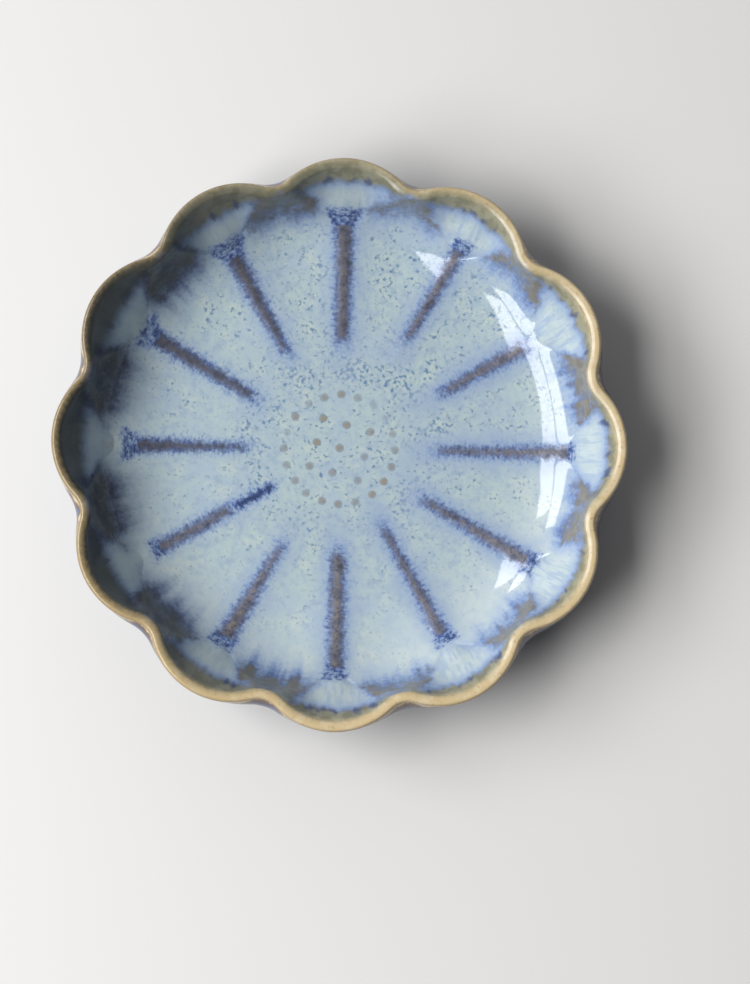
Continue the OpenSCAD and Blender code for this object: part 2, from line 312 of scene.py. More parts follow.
# The next table is painted light: the outer petals are laid paler most on the lower right, where their walls
# face the light and catch its sheen.
painted_light_share = np.array([0.5, 0.2, 0.0, 0.0, 0.0, 0.0, 0.2, 0.4, 0.5, 0.5, 0.7, 0.8])
PAINTED_LIGHT_IN_R = 24.0
TRAIL = 0.4
FAN_L, FAN_GROWTH = 1.1, 0.8
DROP_TURN, DROP_R, DROP_HALF, DROP_THICK = np.radians(210), 18.0, 3.4, 0.7
HAIR_STRETCH, RIB_STEP = 3.0, 17.0
CROWD_R, CROWD_WIDE, CROWD_RING = 16.0, 4.0, 0.09
CROWD_TURN, CROWD_SLOPE = np.radians(60), 0.07


def rib_distance(x, y):
    """Distance from the brown of the nearest rib, a bar that widens outwards: less than 0 inside it."""
    spread = 2 * HALF * np.arange(PETALS)[:, None, None]
    start, end, thin, wide = (v[:, None, None] for v in (rib_start, rib_end, rib_thin, rib_wide))
    along = x * np.cos(spread) + y * np.sin(spread)
    across = np.abs(y * np.cos(spread) - x * np.sin(spread))
    share = np.clip((along - start) / (end - start), 0, 1)
    beside = across - thin - (wide - thin) * share
    past = np.maximum(0, np.maximum((start - along) * TRAIL, along - end))
    return np.where(past > 0, np.hypot(np.maximum(beside, 0), past), beside).min(axis=0)


def blot_distance(x, y):
    """Distance from the cobalt blots: a fan past the outer end of each rib, and one drop on a rib's line."""
    spread = 2 * HALF * np.arange(PETALS)[:, None, None]
    end, wide, fan = (v[:, None, None] for v in (rib_end, rib_wide, fan_wide))
    length = FAN_L + FAN_GROWTH * fan
    along = x * np.cos(spread) + y * np.sin(spread) - end
    across = np.abs(y * np.cos(spread) - x * np.sin(spread)) - wide - fan * np.clip(along / length, 0, 1)
    past = np.abs(along - length / 2) - length / 2
    fans = np.hypot(np.maximum(past, 0), np.maximum(across, 0)).min(axis=0)
    drop_x = x * np.cos(DROP_TURN) + y * np.sin(DROP_TURN)
    drop_y = y * np.cos(DROP_TURN) - x * np.sin(DROP_TURN)
    drop = np.hypot(np.maximum(0, np.abs(drop_x - DROP_R) - DROP_HALF), drop_y) - DROP_THICK
    return np.minimum(fans, drop)


def rib_place(x, y):
    """Place on the nearest rib: along it, a share of the way across it, and a step aside for each rib."""
    nearest = np.round(np.arctan2(y, x) / (2 * HALF))
    spread = 2 * HALF * nearest
    along = x * np.cos(spread) + y * np.sin(spread)
    across = y * np.cos(spread) - x * np.sin(spread)
    return np.stack([along, across / HAIR_STRETCH, RIB_STEP * (nearest % PETALS)], axis=2)


def speck_crowd(x, y):
    """How close the specks stand: a bell round one radius, and a slope across the dish from one side."""
    bell = np.exp(-(((np.hypot(x, y) - CROWD_R) / CROWD_WIDE) ** 2))
    slope = (x * np.cos(CROWD_TURN) + y * np.sin(CROWD_TURN)) / rim_r
    return CROWD_RING * bell + CROWD_SLOPE * slope


def around(values, first):
    """Values set evenly round the axis from an angle on, and joined by straight lines between them."""
    stations = first + 2 * HALF * np.arange(PETALS)
    return np.interp(turns, stations, values, period=2 * np.pi)


steps = np.linalg.norm(np.diff(skin, axis=0), axis=2)
run = np.vstack([np.zeros(len(turns)), np.cumsum(steps, axis=0)])
lip_run = run - run[lip_first]
BAND_GROWTH, BAND_START, BAND_FULL, BAND_LEAST, BAND_CUT = 6.0, 0.45, 0.9, -3.0, 2.6
LOBE_NARROWING = 1.3
FLOW_R, FLOW_STRETCH = 42.0, 7.0
near_notch = fold_a / HALF
toward_notch = BAND_GROWTH * (near_notch - BAND_START)
band_under = around(crease_band, HALF) * np.clip(toward_notch, 0, BAND_FULL)
band_cut = BAND_CUT * np.clip(toward_notch, BAND_LEAST, 0)
fields = {
    "rib_mm": rib_distance(skin[..., 0], skin[..., 1]),
    "blot_mm": blot_distance(skin[..., 0], skin[..., 1]),
    "crease_mm": fold_r - skin_r,
    "band_mm": band_under + band_cut + 0 * skin_r,
    "lip_mm": np.where(lip_run > 0, -lip_run, outline(fold_a, LIP_W) - skin_r),
    "lobe_mm": around(lobe_band, 0) * (1 - LOBE_NARROWING * near_notch**2) + 0 * skin_r,
    "gold_mm": run[lip_last] - run - around(gold_wide, 0),
    "painted_shade": around(painted_shade_share, 0) + 0 * run,
    "rib_deep": around(rib_deep, 0) + 0 * run,
    "painted_light": around(painted_light_share, 0) * np.clip((skin_r - PAINTED_LIGHT_IN_R) / (rib_out_r - PAINTED_LIGHT_IN_R), 0, 1),
    "crowd": speck_crowd(skin[..., 0], skin[..., 1]),
    "side_mm": run - run[lip_last],
}
fields["flow"] = np.stack(
    [FLOW_R * np.cos(turns) + 0 * run, FLOW_R * np.sin(turns) + 0 * run, run / FLOW_STRETCH], axis=2
)
fields["rib_place"] = rib_place(skin[..., 0], skin[..., 1])
print({name: (round(float(v.min()), 1), round(float(v.max()), 1)) for name, v in fields.items()})

# %% [markdown]
# One function turns two grids into a closed coat: the upper cells, the lower cells turned over, and a wall
# along each edge where a kept cell has no kept neighbour. A mask of cells cuts the slots for the ribs.


# %% Coats cut from a grid
def coat(top, low, keep, pole=False):
    """Points and faces of a closed coat between two ring grids; a pole joins the first row into one point."""
    rows, cols = top.shape[:2]
    index = np.arange(rows * cols).reshape(rows, cols)
    if pole:
        index[0] = index[0, 0]
    over, under = index, index + rows * cols
    beyond = np.zeros((1, cols), bool)
    before, after = np.vstack([beyond, keep]), np.vstack([keep, beyond])
    left = np.roll(keep, 1, axis=1)

    def quads(pick, corner_a, corner_b, corner_c, corner_d):
        return np.stack([corner_a[pick], corner_b[pick], corner_c[pick], corner_d[pick]], axis=1)

    def turned(grid):
        return np.roll(grid, -1, axis=1)

    def rung(grid):
        return grid[:-1], grid[1:]

    o_in, o_out = rung(over)
    u_in, u_out = rung(under)
    ot_in, ot_out = rung(turned(over))
    ut_in, ut_out = rung(turned(under))
    faces = [
        quads(keep, o_in, o_out, ot_out, ot_in),
        quads(keep, u_in, ut_in, ut_out, u_out),
        quads(after & ~before, over, turned(over), turned(under), under),
        quads(before & ~after, turned(over), over, under, turned(under)),
        quads(keep & ~left, o_out, o_in, u_in, u_out),
        quads(left & ~keep, o_in, o_out, u_out, u_in),
    ]
    if pole:
        faces[2] = faces[2][faces[2][:, 0] != faces[2][:, 1]]
    return np.concatenate([top.reshape(-1, 3), low.reshape(-1, 3)]), np.concatenate(faces)


def make_piece(name, points, faces, values, normals):
    """A mesh from whole arrays: unused points go, a face that lists a point twice becomes a triangle."""
    used, faces = np.unique(faces, return_inverse=True)
    faces = faces.reshape(-1, 4)
    flat = (faces[:, 0] == faces[:, 3]) | (faces[:, 1] == faces[:, 2])
    pinched = np.where((faces[:, 0] == faces[:, 3])[:, None], faces[:, [0, 1, 2]], faces[:, [0, 1, 3]])
    mesh = bpy.data.meshes.new(name)
    mesh.from_pydata((points[used] * MM).tolist(), [], faces[~flat].tolist() + pinched[flat].tolist())
    for key, value in values.items():
        kind, slot = ("FLOAT_VECTOR", "vector") if value.ndim == 2 else ("FLOAT", "value")
        layer = mesh.attributes.new(key, kind, "POINT")
        layer.data.foreach_set(slot, value[used].astype(np.float32).ravel())
    mesh.polygons.foreach_set("use_smooth", np.ones(len(mesh.polygons), bool))
    mesh.normals_split_custom_set_from_vertices(normals[used].tolist())
    piece = bpy.data.objects.new(name, mesh)
    bpy.context.scene.collection.objects.link(piece)
    print(f"{name}: {len(mesh.vertices)} points, {len(mesh.polygons)} faces")
    return piece


def skin_piece(name, first, last, keep=None):
    """A coat of glaze between two rows of the skin, down to the clay under it."""
    rows = slice(first, last + 1)
    if keep is None:
        keep = np.ones((last - first, len(turns)), bool)
    points, faces = coat(skin[rows], clay[rows], keep, pole=first == 0)
    values = {}
    for key, value in fields.items():
        upper = value[rows].reshape(-1, *value.shape[2:])
        values[key] = np.concatenate([upper, upper])
    out = skin_out[rows].reshape(-1, 3)
    return make_piece(name, points, faces, values, np.concatenate([out, -out]))


# %% [markdown]
# The inner coat has a slot for each rib, and the rib fills it. The lip and the outside are further coats of
# the same grid, so that the edges of all four meet point for point.

# %% Coats of glaze and the ribs
cell_col = np.arange(len(turns)) % sector_cols
rib_cols = (cell_col < RIB_STEPS) | (cell_col >= sector_cols - RIB_STEPS)
rib_cells = np.zeros((lip_first, len(turns)), bool)
rib_cells[rib_first:rib_last] = rib_cols
inner_coat = skin_piece("inner_glaze_coat", 0, lip_first, ~rib_cells)
ribs = skin_piece("trailed_ribs", 0, lip_first, rib_cells)
lip_coat = skin_piece("lip_glaze_coat", lip_first, lip_last)
outer_coat = skin_piece("outer_glaze_coat", lip_last, foot_row)

# %% [markdown]
# The clay is the same skin lowered by the glaze's thickness, closed below by a flat disc. Only the strip
# round the glaze in the recess shows it, but the piece is whole, as the real one is.


# %% Clay body
def closed_grid(points, loop=False):
    """Faces of a ring grid whose first and last rows are poles, or whose rows run in a loop."""
    rows, cols = points.shape[:2]
    index = np.arange(rows * cols).reshape(rows, cols)
    if loop:
        index = np.vstack([index, index[:1]])
    else:
        index[0], index[-1] = index[0, 0], index[-1, 0]
    beside = np.roll(index, -1, axis=1)
    return np.stack([index[:-1], index[1:], beside[1:], beside[:-1]], axis=2).reshape(-1, 4)


BASE_ROWS = 6
base_shares = np.linspace(1, 0, BASE_ROWS + 1)[1:, None, None]
base_rows = clay[foot_row] * np.array([1, 1, 0]) * base_shares + np.array([0, 0, foot_h])
body_points = np.concatenate([clay, base_rows])
body_out = np.concatenate([skin_out, np.zeros_like(base_rows) + np.array([0, 0, -1.0])])
clay_body = make_piece("pressed_clay_body", body_points.reshape(-1, 3), closed_grid(body_points), {},
                       body_out.reshape(-1, 3))

# %% [markdown]
# The foot ring is turned on the wheel: a profile carried round the axis, with its edges eased by hand. The
# coat in the recess is a thin disc with a rounded edge. Both are lathe shapes, so one function makes them.


# %% Foot ring and the coat in the recess
def lathe(profile_r, profile_z):
    """A profile carried round the axis: its radius and its height repeated at every turn."""
    r = profile_r[:, None] * np.ones(len(turns))
    return np.stack([r * np.cos(turns), r * np.sin(turns), profile_z[:, None] + 0 * r], axis=2)


def rounded_bar(inner, outer, low, high, draft, edge, count):
    """A closed profile: straight sides that lean by the draft, and two edges below as quarter circles."""
    bend = np.linspace(0, np.pi / 2, count)
    right_r, right_z = outer - draft - edge * (1 - np.sin(bend)), low + edge * (1 - np.cos(bend))
    left_r, left_z = inner + draft + edge * (1 - np.cos(bend)), low + edge * (1 - np.sin(bend))
    profile_r = np.concatenate([[outer], right_r[::-1], left_r[::-1], [inner]])
    profile_z = np.concatenate([[high], right_z[::-1], left_z[::-1], [high]])
    return profile_r, profile_z


FOOT_DRAFT, FOOT_EDGE, EDGE_POINTS = 0.5, 0.5, 6
foot_profile = rounded_bar(foot_r - FOOT_W, foot_r, foot_low[2], foot_h, FOOT_DRAFT, FOOT_EDGE, EDGE_POINTS)
foot_grid = lathe(*foot_profile)
foot_out = square_to(np.concatenate([foot_grid[-1:], foot_grid, foot_grid[:1]]))[1:-1]
foot_ring = make_piece("turned_foot_ring", foot_grid.reshape(-1, 3), closed_grid(foot_grid, loop=True), {},
                       foot_out.reshape(-1, 3))

base_r, BASE_EDGE, DISC_ROWS = base_high[0], 0.15, 4
bend = np.linspace(0, np.pi / 2, EDGE_POINTS)
disc_shares = np.linspace(0, 1, DISC_ROWS + 1)
edge_r, edge_z = base_r - BASE_EDGE * (1 - np.cos(bend)), base_low[2] + BASE_EDGE * (1 - np.sin(bend))
disc_r = np.concatenate([disc_shares * base_r, edge_r, disc_shares[-2::-1] * (base_r - BASE_EDGE)])
disc_z = np.concatenate([[base_high[2]] * (DISC_ROWS + 1), edge_z, [base_low[2]] * DISC_ROWS])
disc_grid = lathe(disc_r, disc_z)
disc_out = square_to(disc_grid)
disc_out[0], disc_out[-1] = (0, 0, 1), (0, 0, -1)
disc_points = disc_grid.reshape(-1, 3)
recess_run = run[foot_row, 0] - run[lip_last, 0]
recess_fields = {"side_mm": np.full(len(disc_points), recess_run), "flow": disc_points}
base_coat = make_piece("recess_glaze_coat", disc_points, closed_grid(disc_grid), recess_fields,
                       disc_out.reshape(-1, 3))

# %% [markdown]
# The dots are drops of slip that flattened as they dried: low domes that run out flat at their edges. One
# polar grid makes a dome, and adding the places of all dots makes the whole set in one step. A seeded
# draw gives each dot its own width and a slight shift, because they were set by hand.

# %% Dots in the middle
DOT_RINGS, DOT_SIDES, DOT_SPACE, DOT_TURN, RING_DOTS = 6, 20, 2.9, np.radians(-15), 20
DOT_SHIFT, DOT_STRAY, DOT_SPREAD, DOT_SINK, DOT_RISE, DOT_SEED = 0.12, 0.2, 0.06, 0.01, 0.045, 7
ring_shows = [
    0.6, 0.5, 0.2, 0.3, 0.55, 0.9, 0.8, 0.45, 0.8, 0.3,
    0.65, 0.6, 0.65, 0.6, 0.75, 0.8, 0.65, 0.9, 1.0, 0.8,
]
square_shows = [0.75, 0.7, 0.65, 0.95, 0.9, 0.6, 0.95, 0.9, 0.75]
draw = np.random.default_rng(DOT_SEED)
ring_turns = 2 * np.pi * np.arange(RING_DOTS) / RING_DOTS
square = (DOT_D + DOT_SPACE) * np.stack(np.meshgrid([-1, 0, 1], [-1, 0, 1]), axis=2).reshape(-1, 2)
turn_square = np.array([[np.cos(DOT_TURN), np.sin(DOT_TURN)], [-np.sin(DOT_TURN), np.cos(DOT_TURN)]])
ring_places = dot_ring_r * np.stack([np.cos(ring_turns), np.sin(ring_turns)], axis=1)
dot_places = np.concatenate([ring_places, square @ turn_square])
dot_count = len(dot_places)
dot_places = dot_places + draw.normal(0, DOT_SHIFT, dot_places.shape).clip(-DOT_STRAY, DOT_STRAY)
widths = 1 - DOT_SPREAD * draw.random(dot_count)
strengths = np.array(ring_shows + square_shows)


def dome(share):
    """Height of a dot over the floor at a share of its radius: a square of a falling parabola."""
    return DOT_RISE * (1 - share**2) ** 2 - DOT_SINK


ring_share = np.linspace(0, 1, DOT_RINGS + 1)
dot_turns = 2 * np.pi * np.arange(DOT_SIDES) / DOT_SIDES
plan = ring_share[:, None, None] * np.stack([np.cos(dot_turns), np.sin(dot_turns)], axis=1)
rise = dome(ring_share)[:, None, None] * np.ones((1, DOT_SIDES, 1))
dome_grid = np.concatenate([plan * DOT_LOOK_D / 2, rise], axis=2)
one_dot = np.concatenate([dome_grid, dome_grid[-1:] * np.array([0, 0, 1])])
one_out = square_to(one_dot)
one_out[0], one_out[-1] = (0, 0, 1), (0, 0, -1)
dot_faces = closed_grid(one_dot)
dot_scale = np.stack([widths, widths, np.ones(dot_count)], axis=1)[:, None, None, :]
dot_shift = np.concatenate([dot_places, np.full((dot_count, 1), floor_z)], axis=1)[:, None, None, :]
all_dots = (one_dot * dot_scale + dot_shift).reshape(-1, 3)
all_faces = (dot_faces + (one_dot.size // 3) * np.arange(dot_count)[:, None, None]).reshape(-1, 4)
edge_share = np.append(ring_share, 1.0)[:, None] * np.ones(DOT_SIDES)
dot_fields = {
    "edge_share": np.tile(edge_share.ravel(), dot_count),
    "strength": np.repeat(strengths, edge_share.size),
}
dots_out = np.tile(one_out.reshape(-1, 3), (dot_count, 1))
dots = make_piece("slip_dots", all_dots, all_faces, dot_fields, dots_out)

# %% [markdown]
# Materials come next. One helper adds a node, sets its own properties and fills its sockets with values or
# links, and one function turns the sRGB hex colours that a designer writes into linear ones.

# %% Helpers for materials
SRGB_KNEE, SRGB_SLOPE, SRGB_LIFT, SRGB_POWER = 0.04045, 12.92, 0.055, 2.4


def linear(code):
    """An sRGB hex colour as linear red, green, blue and alpha."""
    part = np.array([int(code[i : i + 2], 16) for i in (1, 3, 5)]) / 255
    curve = ((part + SRGB_LIFT) / (1 + SRGB_LIFT)) ** SRGB_POWER
    value = np.where(part <= SRGB_KNEE, part / SRGB_SLOPE, curve)
    return (*value.tolist(), 1.0)


def fill(tree, node, inputs):
    """Fills a node's sockets: numbers and colours are set, sockets and other nodes' outputs are linked."""
    for name, value in inputs.items():
        if isinstance(value, bpy.types.Node):
            value = next(socket for socket in value.outputs if socket.enabled)
        if isinstance(value, bpy.types.NodeSocket):
            tree.links.new(value, node.inputs[name])
        else:
            node.inputs[name].default_value = value


def add(tree, kind, inputs=None, **settings):
    """Adds a node: settings are its own properties, and inputs go into its sockets."""
    made = tree.nodes.new("ShaderNode" + kind)
    for name, value in settings.items():
        setattr(made, name, value)
    fill(tree, made, inputs or {})
    return made


def new_material(name, **sockets):
    """A material with one Principled shader; the sockets given here are the same all over the surface."""
    material = bpy.data.materials.new(name)
    material.use_nodes = True
    tree = material.node_tree
    finish = partial(fill, tree, tree.nodes["Principled BSDF"])
    finish({key.replace("_", " "): value for key, value in sockets.items()})
    return material, partial(add, tree), finish


# %% [markdown]
# Reactive stoneware glaze, dipped and fired to a run. Where it lies thick it is opaque, milky and cool; where
# it thins it turns lavender, then cobalt, and where it breaks over an edge the iron in the clay shows brown
# or olive. So the colours are layers, from thick to thin. Each layer has a source, which is a distance on the
# grid roughened by a noise, and it shows where that source falls from one value to another.

# %% Milky field of the glaze
ASKEW = (0.7, 0.5, 0.3)
MOTTLE, PATCH, CLOUD, GRIT, SPECK_SWING = 1.5, 3.6, 11.0, 0.7, 0.6
MILK_BLUE, MILK_GREEN, CREAM, CLOUD_BLUE, HAZE_BLUE = "#A4B7C3", "#AFC1C3", "#C0CCC4", "#A2B5C8", "#94A8BA"
SPECK_GREEN, SPECK_BLUE, PINHOLE = "#829CAC", "#5C7AA2", "#9C8F72"


def lay(put, colour, layers):
    """Lays colours over each other: each shows where its source goes from one value to the other."""
    for source, start, end, strength, over in layers:
        mask = put("MapRange", {0: source, 1: start, 2: end, 4: strength}, interpolation_type="SMOOTHSTEP")
        over = linear(over) if isinstance(over, str) else over
        colour = put("Mix", {0: mask, 6: colour, 7: over}, data_type="RGBA")
    return colour


def swayed(put, source, noise, swing):
    """A distance moved to and fro by a noise, by half the swing to either side."""
    sway = put("MapRange", {0: noise, 3: -swing / 2, 4: swing / 2}, clamp=False)
    return put("Math", {0: source, 1: sway}, operation="ADD")


def askew_place(put):
    """Object coordinates turned askew, so that no noise shows the lines of its own grid on a level floor."""
    return put("Mapping", {"Vector": put("TexCoord").outputs["Object"], "Rotation": ASKEW})


def milky_field(put, place, crowd):
    """Pale mottling with cream, bluer clouds and fine cobalt specks, which gather where crowd is larger."""
    mottle = put("TexNoise", {"Vector": place, "Scale": 1 / (MOTTLE * MM), "Detail": 3.0, "Roughness": 0.6})
    patch = put("TexNoise", {"Vector": place, "Scale": 1 / (PATCH * MM), "Detail": 3.0, "Roughness": 0.6})
    cloud = put("TexNoise", {"Vector": place, "Scale": 1 / (CLOUD * MM), "Detail": 2.0})
    grit = put("TexNoise", {"Vector": place, "Scale": 1 / (GRIT * MM), "Detail": 1.0})
    specks = put("Math", {0: grit, 1: crowd}, operation="ADD")
    specks = swayed(put, specks, patch, SPECK_SWING)
    start = lay(put, linear(MILK_BLUE), ((mottle, 0.35, 0.65, 1.0, MILK_GREEN),))
    return lay(put, start, (
        (cloud, 0.42, 0.68, 0.7, CLOUD_BLUE),
        (patch, 0.48, 0.68, 0.6, CREAM),
        (mottle, 0.47, 0.30, 0.6, HAZE_BLUE),
        (specks, 0.53, 0.82, 0.75, SPECK_GREEN),
        (specks, 0.65, 0.85, 0.8, SPECK_BLUE),
        (grit, 0.30, 0.22, 0.3, PINHOLE),
    ))


# %% Colours of the reactive glaze, and what it reads from the grid
LAVENDER, LIGHT_BLUE, MID_BLUE, COBALT, NAVY = "#9FB2CE", "#92A8CC", "#6C87BC", "#425D9A", "#303B5E"
# Several colours below are darker copies of others, used as painted shade on the walls that face away from
# the light: the dark navy, the two slates, the dim ledge, the near-black and the dull gold.
LAVENDER_IN_PAINTED_SHADE, LIGHT_BLUE_IN_PAINTED_SHADE, NAVY_IN_PAINTED_SHADE, DROP_NAVY = "#8D9FB0", "#6E8094", "#20232B", "#3C4A76"
RIB_BROWN, RIB_DARK, RIB_TAN, RIB_DEEP = "#65636A", "#333849", "#8C8276", "#2B2D38"
# In the next row, the palest milk is painted light for the lit petals on the lower right.
HALO_BLUE, PAINTED_LIGHT_MILK, LEDGE_PALE, LEDGE_IN_PAINTED_SHADE = "#98ABC4", "#CDD7D8", "#C2CFD2", "#98A8A8"
LUMP, LUMP_DARK, UMBER, PAINTED_SHADE_DARK = "#9A9274", "#746C52", "#6A5E4C", "#0E0C09"
OLIVE, OLIVE_DARK, EDGE_BROWN = "#9C987C", "#7A7658", "#6B4F30"
GOLD, GOLD_PALE, GOLD_IN_PAINTED_SHADE, RUST = "#CDB88F", "#E0D4B4", "#A08A5C", "#93744A"
glaze, put, finish = new_material("reactive_stoneware_glaze", IOR=1.56)
place = askew_place(put)
flow_at = put("Attribute", attribute_name="flow").outputs["Vector"]
rib_at = put("Attribute", attribute_name="rib_place").outputs["Vector"]
rib, blot, crease_d, band, lip, lobe, gold, side, painted_shade, deep, painted_light, crowd = (
    put("Attribute", attribute_name=name).outputs["Fac"]
    for name in ("rib_mm", "blot_mm", "crease_mm", "band_mm", "lip_mm", "lobe_mm", "gold_mm", "side_mm",
                 "painted_shade", "rib_deep", "painted_light", "crowd")
)
print("the glaze reads", len(fields), "fields")

# %% [markdown]
# A running glaze never ends in a clean line. Painted masks would fix it to one picture, so noises roughen
# each distance: grain, spots and blobs lie on the dish, hairs run across the ribs, and lumps, drops and
# streaks follow the flow downhill. Where painted shade darkens the left-hand walls, lumps and streaks calm
# down.

# %% Noises of the glaze, with sizes in millimetres
GRAIN, SPOT, BLOB, SWELL = 0.75, 0.6, 2.2, 5.0
HAIR, CLOT, DROP, STREAK = 0.5, 1.9, 1.8, 0.8
CALM, EASE, HALO_FAIR, HALO_IN_PAINTED_SHADE = 0.75, 0.55, 0.8, 0.25
grain = put("TexNoise", {"Vector": place, "Scale": 1 / (GRAIN * MM), "Detail": 3.0, "Roughness": 0.65})
spots = put("TexNoise", {"Vector": place, "Scale": 1 / (SPOT * MM), "Detail": 2.0, "Roughness": 0.6})
blobs = put("TexNoise", {"Vector": place, "Scale": 1 / (BLOB * MM), "Detail": 2.0, "Roughness": 0.5})
swell = put("TexNoise", {"Vector": place, "Scale": 1 / (SWELL * MM), "Detail": 2.0})
hairs = put("TexNoise", {"Vector": rib_at, "Scale": 1 / HAIR, "Detail": 3.0, "Roughness": 0.6})
lumps = put("TexNoise", {"Vector": flow_at, "Scale": 1 / CLOT, "Detail": 1.0})
drops = put("TexNoise", {"Vector": flow_at, "Scale": 1 / DROP, "Detail": 1.0, "Roughness": 0.4})
streak = put("TexNoise", {"Vector": flow_at, "Scale": 1 / STREAK, "Detail": 2.0, "Roughness": 0.6})
# In the painted shade on the left, the lumps and streaks flatten out.
calm = put("Math", {0: painted_shade, 1: CALM}, operation="MULTIPLY")
lumps, streak = (put("Mix", {0: calm, 2: noise, 3: 0.5}) for noise in (lumps, streak))

# %% [markdown]
# The slip of a rib stains the glaze round it: a brown core, a fringe of cobalt hairs and a pale blue halo.
# Each of them is the same distance from the rib, moved to and fro by its own noises, in millimetres.

# %% Distances from the ribs and the blots
HALO_SWING, CORE_GRAIN, CORE_BLOB = 4.0, 1.6, 2.0
FRINGE_GRAIN, FRINGE_HAIR, BLOT_GRAIN = 2.8, 2.4, 2.4
rib_soft = swayed(put, rib, swell, HALO_SWING)
# The rib halo is fainter where painted shade lies.
halo_share = put("MapRange", {0: painted_shade, 3: HALO_FAIR, 4: HALO_IN_PAINTED_SHADE})
rib_core = swayed(put, swayed(put, rib, grain, CORE_GRAIN), blobs, CORE_BLOB)
rib_fringe = swayed(put, swayed(put, rib, grain, FRINGE_GRAIN), hairs, FRINGE_HAIR)
blot_fringe = swayed(put, swayed(put, blot, grain, BLOT_GRAIN), hairs, FRINGE_HAIR)

# %% [markdown]
# Over a crease the glaze runs thin, so brown lumps gather along it and blue streaks run down from them. On
# the ledge side the band ends sooner, and it tapers off on its way from a notch to a rib.

# %% Distances from the band under each crease
LEDGE_SOFT, LEDGE_SWAY, LEDGE_SLOPE, LUMP_SHARE = 2.4, 5.0, -1.2, 0.65
LUMP_BLOB, LUMP_GRAIN, BLUE_STREAK, BLUE_GRAIN, BLUE_BLOB, BAND_SWAY = 4.0, 2.4, 2.6, 3.0, 1.6, 5.0
ledge_soft = swayed(put, crease_d, swell, LEDGE_SOFT)
ledge_reach = put("MapRange", {0: band, 1: -2.0, 2: 2.0, 3: 1.6, 4: -1.8})
ledge_side = put("Math", {0: crease_d, 1: LEDGE_SLOPE, 2: ledge_reach}, operation="MULTIPLY_ADD")
ledge_side = swayed(put, ledge_side, swell, LEDGE_SWAY)
reach = put("MapRange", {0: lumps, 1: 0.3, 2: 0.7, 3: 0.5, 4: 1.3}, interpolation_type="SMOOTHSTEP")
band_deep = put("Math", {0: band, 1: reach}, operation="MULTIPLY")
band_edge = put("Math", {0: crease_d, 1: band_deep}, operation="SUBTRACT")
band_edge = put("Math", {0: band_edge, 1: ledge_side}, operation="MAXIMUM")
lump_edge = put("Math", {0: band_deep, 1: -LUMP_SHARE, 2: crease_d}, operation="MULTIPLY_ADD")
lump_edge = put("Math", {0: lump_edge, 1: ledge_side}, operation="MAXIMUM")
band_lump = swayed(put, swayed(put, lump_edge, blobs, LUMP_BLOB), grain, LUMP_GRAIN)
band_blue = swayed(put, swayed(put, band_edge, streak, BLUE_STREAK), grain, BLUE_GRAIN)
band_blue = swayed(put, band_blue, blobs, BLUE_BLOB)
band_soft = swayed(put, band_edge, swell, BAND_SWAY)
# Where painted shade lies, the bands' edges soften.
ease = put("MapRange", {0: painted_shade, 3: 1.0, 4: EASE})
band_lump, band_blue, band_soft = (
    put("Math", {0: source, 1: ease}, operation="MULTIPLY") for source in (band_lump, band_blue, band_soft)
)

# %% [markdown]
# Under the lip the glaze sags into an olive band with scallops, and dark drops hang from its edge.

# %% Distances from the band under the lip
LOBE_GROWTH, LOBE_LEAST, LOBE_STREAK, LOBE_GRAIN = 0.9, 0.5, 1.0, 0.7
DROP_BELOW, DROP_GAP, DROP_SWING, GOLD_SWING = 0.4, 2.5, -3.8, 1.4
reach = put("Math", {0: lumps, 1: LOBE_GROWTH, 2: LOBE_LEAST}, operation="MULTIPLY_ADD")
lobe_deep = put("Math", {0: lobe, 1: reach}, operation="MULTIPLY")
lobe_edge = put("Math", {0: lip, 1: lobe_deep}, operation="SUBTRACT")
lobe_edge = swayed(put, swayed(put, lobe_edge, streak, LOBE_STREAK), grain, LOBE_GRAIN)
lobe_edge = put("Math", {0: lobe_edge, 1: ease}, operation="MULTIPLY")
hanging = put("Math", {0: lobe_edge, 1: DROP_BELOW}, operation="ADD")
hanging = put("Math", {0: hanging}, operation="ABSOLUTE")
narrow = put("MapRange", {0: lobe, 1: 1.0, 2: 0.2, 4: DROP_GAP})
hanging = put("Math", {0: hanging, 1: narrow}, operation="ADD")
lobe_drop = swayed(put, hanging, drops, DROP_SWING)
gold_edge = swayed(put, gold, grain, GOLD_SWING)

# %% [markdown]
# Some colours vary by themselves: slip and lumps are mottled. All bands are darkened by painted shade on the
# left, where the walls face away from the light.

# %% Colours that vary
cobalt, mid_blue, light_blue, lavender = (
    lay(put, linear(fair), ((painted_shade, 0.0, 1.0, 0.85, dim),))
    for fair, dim in ((COBALT, NAVY_IN_PAINTED_SHADE), (MID_BLUE, NAVY), (LIGHT_BLUE, LIGHT_BLUE_IN_PAINTED_SHADE), (LAVENDER, LAVENDER_IN_PAINTED_SHADE))
)
ledge_colour = lay(put, linear(LEDGE_PALE), (
    (streak, 0.44, 0.64, 0.65, light_blue),
    (blobs, 0.46, 0.66, 0.5, MILK_GREEN),
    (painted_shade, 0.0, 1.0, 0.8, LEDGE_IN_PAINTED_SHADE),
))
drop_colour = lay(put, linear(DROP_NAVY), ((painted_shade, 0.0, 1.0, 0.9, NAVY_IN_PAINTED_SHADE),))
rib_colour = lay(put, linear(RIB_BROWN), (
    (blobs, 0.46, 0.64, 0.8, RIB_TAN),
    (spots, 0.48, 0.66, 0.8, RIB_DARK),
    (blobs, 0.44, 0.32, 0.7, RIB_DEEP),
    (deep, 0.0, 1.0, 0.75, RIB_DEEP),
))
lump_colour = lay(put, linear(LUMP), (
    (blobs, 0.58, 0.38, 0.7, LUMP_DARK),
    (painted_shade, 0.0, 1.0, 0.95, PAINTED_SHADE_DARK),
    (blobs, 0.46, 0.66, 0.5, UMBER),
))
